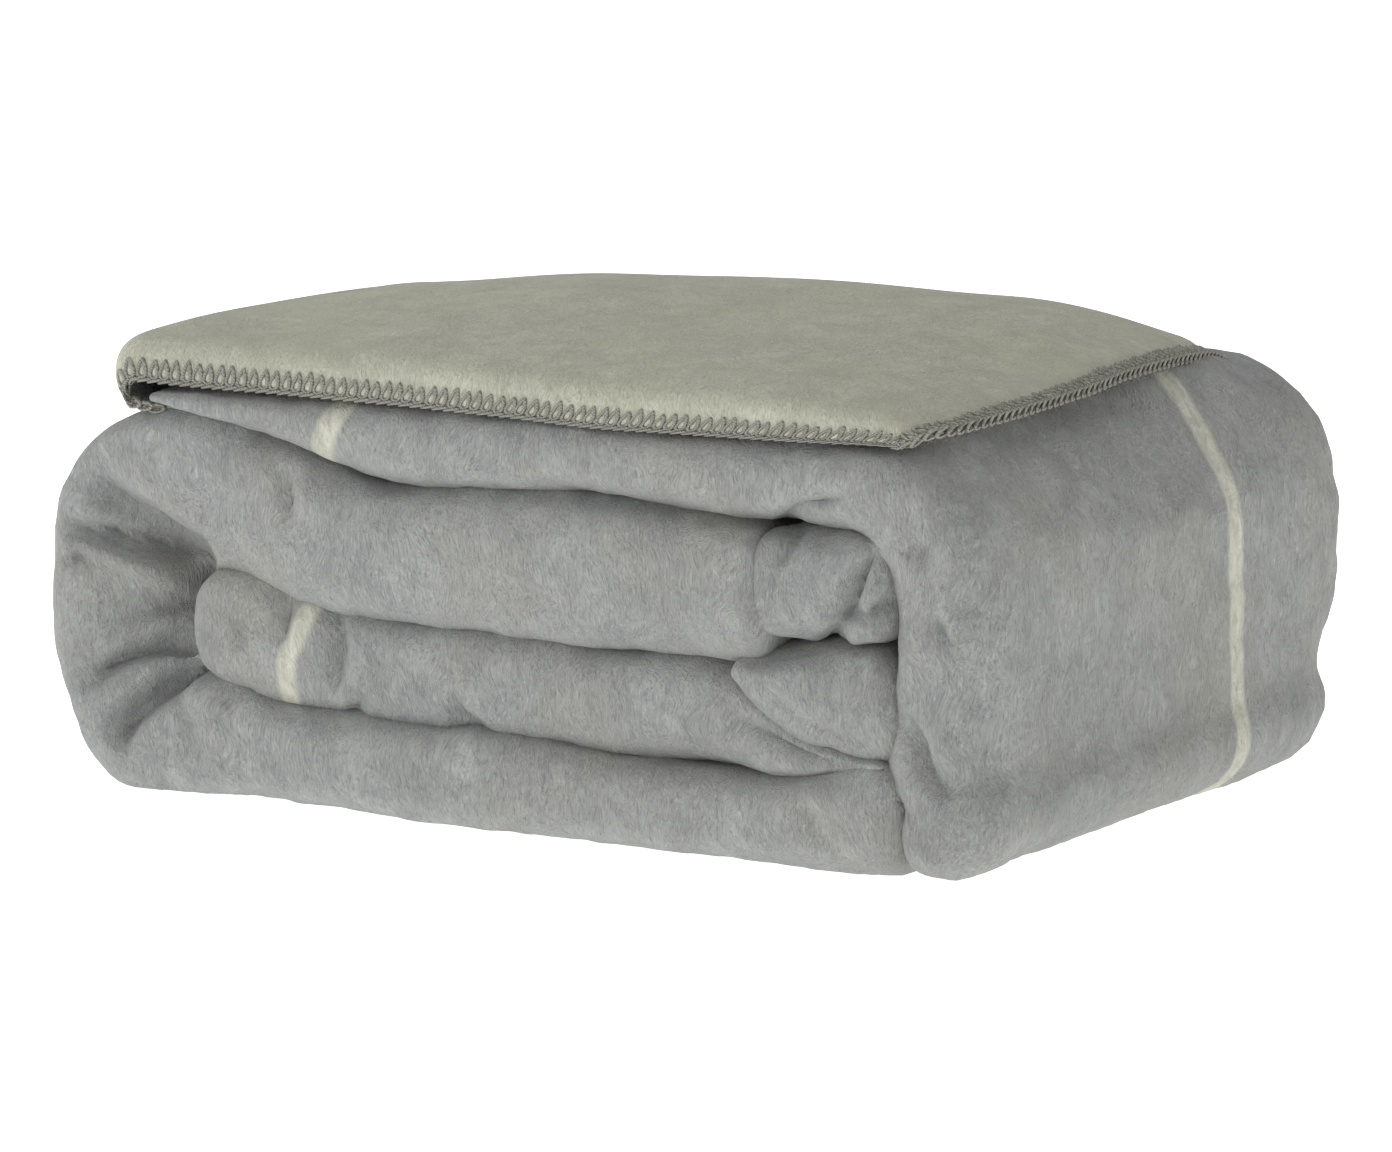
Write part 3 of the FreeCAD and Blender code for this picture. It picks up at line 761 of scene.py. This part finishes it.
def plushMaterial(name, hasLines=False):
    # brushed polyester plush: a 4 mm cut pile, laid in soft swirls, that looks mottled and a little frosted
    colours = plush[name]
    material, shader = newMaterial(name, 0.92)
    place = addNode(material, "ShaderNodeTexCoord").outputs["Object"]
    # the pile lies in swirls about 30 mm across, so the fibre pattern is bent by a slow noise
    swirl = addNode(material, "ShaderNodeTexNoise", {"Scale": 26, "Detail": 2}, {"Vector": place})
    bent = addNode(material, "ShaderNodeVectorMath", {"operation": "MULTIPLY_ADD", 1: (0.02, 0.02, 0.02)},
                   {0: swirl.outputs["Color"], 2: place})
    # patches where the pile is brushed one way or the other, 15 to 40 mm
    patches = addNode(material, "ShaderNodeTexNoise", {"Scale": 42, "Detail": 4, "Roughness": 0.6},
                      {"Vector": bent.outputs[0]})
    warmth = addNode(material, "ShaderNodeTexNoise", {"Scale": 14, "Detail": 2}, {"Vector": bent.outputs[0]})
    # tufts of pile clinging together, 3 to 8 mm long and half as wide
    stretch = addNode(material, "ShaderNodeMapping", {"Scale": (1, 1, 0.45), "Rotation": (0.5, 0.35, 0.2)},
                      {"Vector": bent.outputs[0]})
    tufts = addNode(material, "ShaderNodeTexNoise", {"Scale": 230, "Detail": 4, "Roughness": 0.62,
                                                     "Distortion": 0.6}, {"Vector": stretch.outputs[0]})
    # single fibres are about 0.02 mm; drawn 0.6 mm wide and 3 mm long so that they show
    fineStretch = addNode(material, "ShaderNodeMapping",
                          {"Scale": (1, 1, 0.24), "Rotation": (0.7, -0.4, 0.9)}, {"Vector": bent.outputs[0]})
    fibres = addNode(material, "ShaderNodeTexNoise", {"Scale": 1050, "Detail": 3, "Roughness": 0.7,
                                                      "Distortion": 0.5}, {"Vector": fineStretch.outputs[0]})
    patchShare = addNode(material, "ShaderNodeMapRange",
                         {"From Min": 0.36, "From Max": 0.64, "To Max": 0.45},
                         {"Value": patches.outputs["Fac"]})
    tuftShare = addNode(material, "ShaderNodeMapRange", {"From Min": 0.34, "From Max": 0.66},
                        {"Value": tufts.outputs["Fac"]})
    both = addNode(material, "ShaderNodeMath", {"operation": "MULTIPLY_ADD", 1: 0.55},
                   {0: tuftShare.outputs[0], 2: patchShare.outputs[0]})
    base = addNode(material, "ShaderNodeMix", {"data_type": "RGBA", 6: toLinear(colours["dark"]),
                                               7: toLinear(colours["light"])}, {0: both.outputs[0]})
    warmShare = addNode(material, "ShaderNodeMapRange", {"From Min": 0.46, "From Max": 0.72, "To Max": 0.5},
                        {"Value": warmth.outputs["Fac"]})
    warmed = addNode(material, "ShaderNodeMix", {"data_type": "RGBA", 7: toLinear(colours["warm"])},
                     {0: warmShare.outputs[0], 6: base.outputs[2]})
    # between the fibres it is darker, and the tips of some are frosted
    hollow = addNode(material, "ShaderNodeMapRange", {"From Min": 0.47, "From Max": 0.3, "To Max": 0.75},
                     {"Value": fibres.outputs["Fac"]})
    shaded = addNode(material, "ShaderNodeMix", {"data_type": "RGBA", 7: toLinear(colours["shade"])},
                     {0: hollow.outputs[0], 6: warmed.outputs[2]})
    tipShare = addNode(material, "ShaderNodeMapRange", {"From Min": 0.54, "From Max": 0.72, "To Max": 0.6},
                       {"Value": fibres.outputs["Fac"]})
    tipped = addNode(material, "ShaderNodeMix", {"data_type": "RGBA", 7: toLinear(colours["tip"])},
                     {0: tipShare.outputs[0], 6: shaded.outputs[2]})
    colour = tipped.outputs[2]
    if hasLines:
        # dyed cream lines with a ragged edge of about 1 mm, where the pile of the two colours mixes
        away = addNode(material, "ShaderNodeAttribute", {"attribute_name": "fromCheckLine"})
        ragged = addNode(material, "ShaderNodeMath", {"operation": "MULTIPLY_ADD", 1: 5.0, 2: -2.5},
                         {0: tufts.outputs["Fac"]})
        edge = addNode(material, "ShaderNodeMath", {"operation": "ADD"},
                       {0: away.outputs["Fac"], 1: ragged.outputs[0]})
        inLine = addNode(material, "ShaderNodeMapRange", {"From Min": 1.3, "From Max": -1.3, "To Max": 0.9},
                         {"Value": edge.outputs[0]})
        dyes = plush["creamPlush"]
        cream = addNode(material, "ShaderNodeMix", {"data_type": "RGBA", 6: toLinear(dyes["dark"]),
                                                    7: toLinear(dyes["tip"])}, {0: tuftShare.outputs[0]})
        lined = addNode(material, "ShaderNodeMix", {"data_type": "RGBA"},
                        {0: inLine.outputs[0], 6: colour, 7: cream.outputs[2]})
        colour = lined.outputs[2]
    joinTo(material, colour, shader.inputs["Base Color"])
    roll = addNode(material, "ShaderNodeMath", {"operation": "MULTIPLY_ADD", 1: 0.6},
                   {0: fibres.outputs["Fac"], 2: tufts.outputs["Fac"]})
    relief = addNode(material, "ShaderNodeBump", {"Strength": 0.8, "Distance": 0.003},
                     {"Height": roll.outputs[0]})
    joinTo(material, relief.outputs[0], shader.inputs["Normal"])
    shader.inputs["Specular IOR Level"].default_value = 0.12
    shader.inputs["Sheen Weight"].default_value = colours["sheen"]
    shader.inputs["Sheen Roughness"].default_value = 0.45
    shader.inputs["Sheen Tint"].default_value = (1, 1, 1, 1)
    return material


def yarnMaterial():
    # textured polyester overlock yarn, plied: dull, with the twist showing as fine slanted ridges
    material, shader = newMaterial("overlockYarn", 0.85)
    place = addNode(material, "ShaderNodeTexCoord").outputs["Object"]
    slant = addNode(material, "ShaderNodeMapping", {"Rotation": (0.6, 0.6, 0.8)}, {"Vector": place})
    # ply ridges every 0.9 mm, twice the real spacing so that they show
    ply = addNode(material, "ShaderNodeTexWave", {"Scale": 330, "Distortion": 3.0, "Detail": 1},
                  {"Vector": slant.outputs[0]})
    # loose fibre ends of about 1 mm
    fuzz = addNode(material, "ShaderNodeTexNoise", {"Scale": 900, "Detail": 3}, {"Vector": place})
    mixed = addNode(material, "ShaderNodeMath", {"operation": "MULTIPLY_ADD", 1: 0.5},
                    {0: fuzz.outputs["Fac"], 2: ply.outputs["Fac"]})
    share = addNode(material, "ShaderNodeMapRange", {"From Min": 0.2, "From Max": 1.1},
                    {"Value": mixed.outputs[0]})
    colour = addNode(material, "ShaderNodeMix", {"data_type": "RGBA", 6: toLinear(yarn["dark"]),
                                                 7: toLinear(yarn["light"])}, {0: share.outputs[0]})
    joinTo(material, colour.outputs[2], shader.inputs["Base Color"])
    relief = addNode(material, "ShaderNodeBump", {"Strength": 0.5, "Distance": 0.0005},
                     {"Height": mixed.outputs[0]})
    joinTo(material, relief.outputs[0], shader.inputs["Normal"])
    shader.inputs["Specular IOR Level"].default_value = 0.25
    return material


greyPlush = plushMaterial("greyPlush", hasLines=True)
creamPlush = plushMaterial("creamPlush")
for cloth in (outerTurnCloth, coreRunCloth, upperEndFoldCloth, lowerEndFoldCloth, topTurnCloth, flapFace):
    cloth.data.materials.append(greyPlush)
    markCheckLines(cloth, checkLines.get(cloth.name, []))
flapReverse.data.materials.append(creamPlush)
edgeTufts.data.materials.append(creamPlush)
edgeYarn.data.materials.append(yarnMaterial())

for cloth in (outerTurnCloth, coreRunCloth, upperEndFoldCloth, lowerEndFoldCloth):
    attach(cloth, "roll")
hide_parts("bottom_run", "left_turn", "upper_inner_run")
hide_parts("core_run")
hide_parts("core_end_fold_upper")
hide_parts("core_end_fold_lower")
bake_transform(topTurnCloth)
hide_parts("right_turn", "top_run")
for cloth, slotName, nodes in ((flapReverse, "cream_plush", ("flap_reverse_cloth", "flap_tuck")),
                               (flapFace, "grey_plush", ("flap_face_cloth",))):
    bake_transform(cloth)
    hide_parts(*nodes)

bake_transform(edgeTufts)
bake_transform(edgeYarn)
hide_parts("flap_edge_stitch_front", "flap_edge_stitch_back", "flap_edge_stitch_end")

bpy.ops.object.select_all(action="DESELECT")
bpy.ops.mesh.primitive_plane_add(size=30, location=(0, 0, 0))
floor = bpy.context.object
floor.name = "floor"
paper, paperShader = newMaterial("seamlessPaper", 0.95)
paperShader.inputs["Base Color"].default_value = toLinear("f6f6f5")
# the paper is lit from below, so it stays plain white up to the cloth and lights the cloth's lower half
paperShader.inputs["Emission Color"].default_value = (1, 1, 1, 1)
paperShader.inputs["Emission Strength"].default_value = 0.9
floor.data.materials.append(paper)


softboxes = {
    "frontSoftbox": {"place": (-1.2, -2.6, 0.25), "aim": (0, 0, 0.03), "size": 1.6, "power": 7},
    "sideSoftbox": {"place": (2.5, -0.8, 0.6), "aim": (0, 0, 0.06), "size": 1.6, "power": 1.5,
                    "colour": (1, 0.99, 0.7)},
    "leftSoftbox": {"place": (-2.4, -1.0, 0.5), "aim": (-0.2, -0.1, 0.05), "size": 1.4, "power": 7},
    "topSoftbox": {"place": (-1.5, -0.2, 1.9), "aim": (-0.05, 0, 0.1), "size": 1.6, "power": 15},
}
for name, box in softboxes.items():
    bpy.ops.object.light_add(type="AREA", location=box["place"])
    light = bpy.context.object
    light.name = name
    light.data.size = box["size"]
    light.data.energy = box["power"]
    light.data.color = box.get("colour", (1, 1, 1))
    aim = Vector(box["aim"]) - Vector(box["place"])
    light.rotation_euler = aim.to_track_quat("-Z", "Y").to_euler()

world = bpy.data.worlds.new("studio")
bpy.context.scene.world = world
world.use_nodes = True
world.node_tree.nodes["Background"].inputs["Color"].default_value = (1, 1, 1, 1)
world.node_tree.nodes["Background"].inputs["Strength"].default_value = 0.54
bpy.context.scene.view_settings.view_transform = "Standard"

viewpoint = {"azimuth": 31.1, "elevation": 10.3, "distance": 4.0, "target": (0.0009, 0.0005, 0.082),
             "lens": 246.7, "sensor": 36}
turn, rise = math.radians(viewpoint["azimuth"]), math.radians(viewpoint["elevation"])
towards = Vector((math.sin(turn) * math.cos(rise), -math.cos(turn) * math.cos(rise), math.sin(rise)))
target = Vector(viewpoint["target"])
bpy.ops.object.camera_add(location=target + towards * viewpoint["distance"])
camera = bpy.context.object
camera.rotation_euler = (-towards).to_track_quat("-Z", "Y").to_euler()
camera.data.lens = viewpoint["lens"]
camera.data.sensor_width = viewpoint["sensor"]
bpy.context.scene.camera = camera
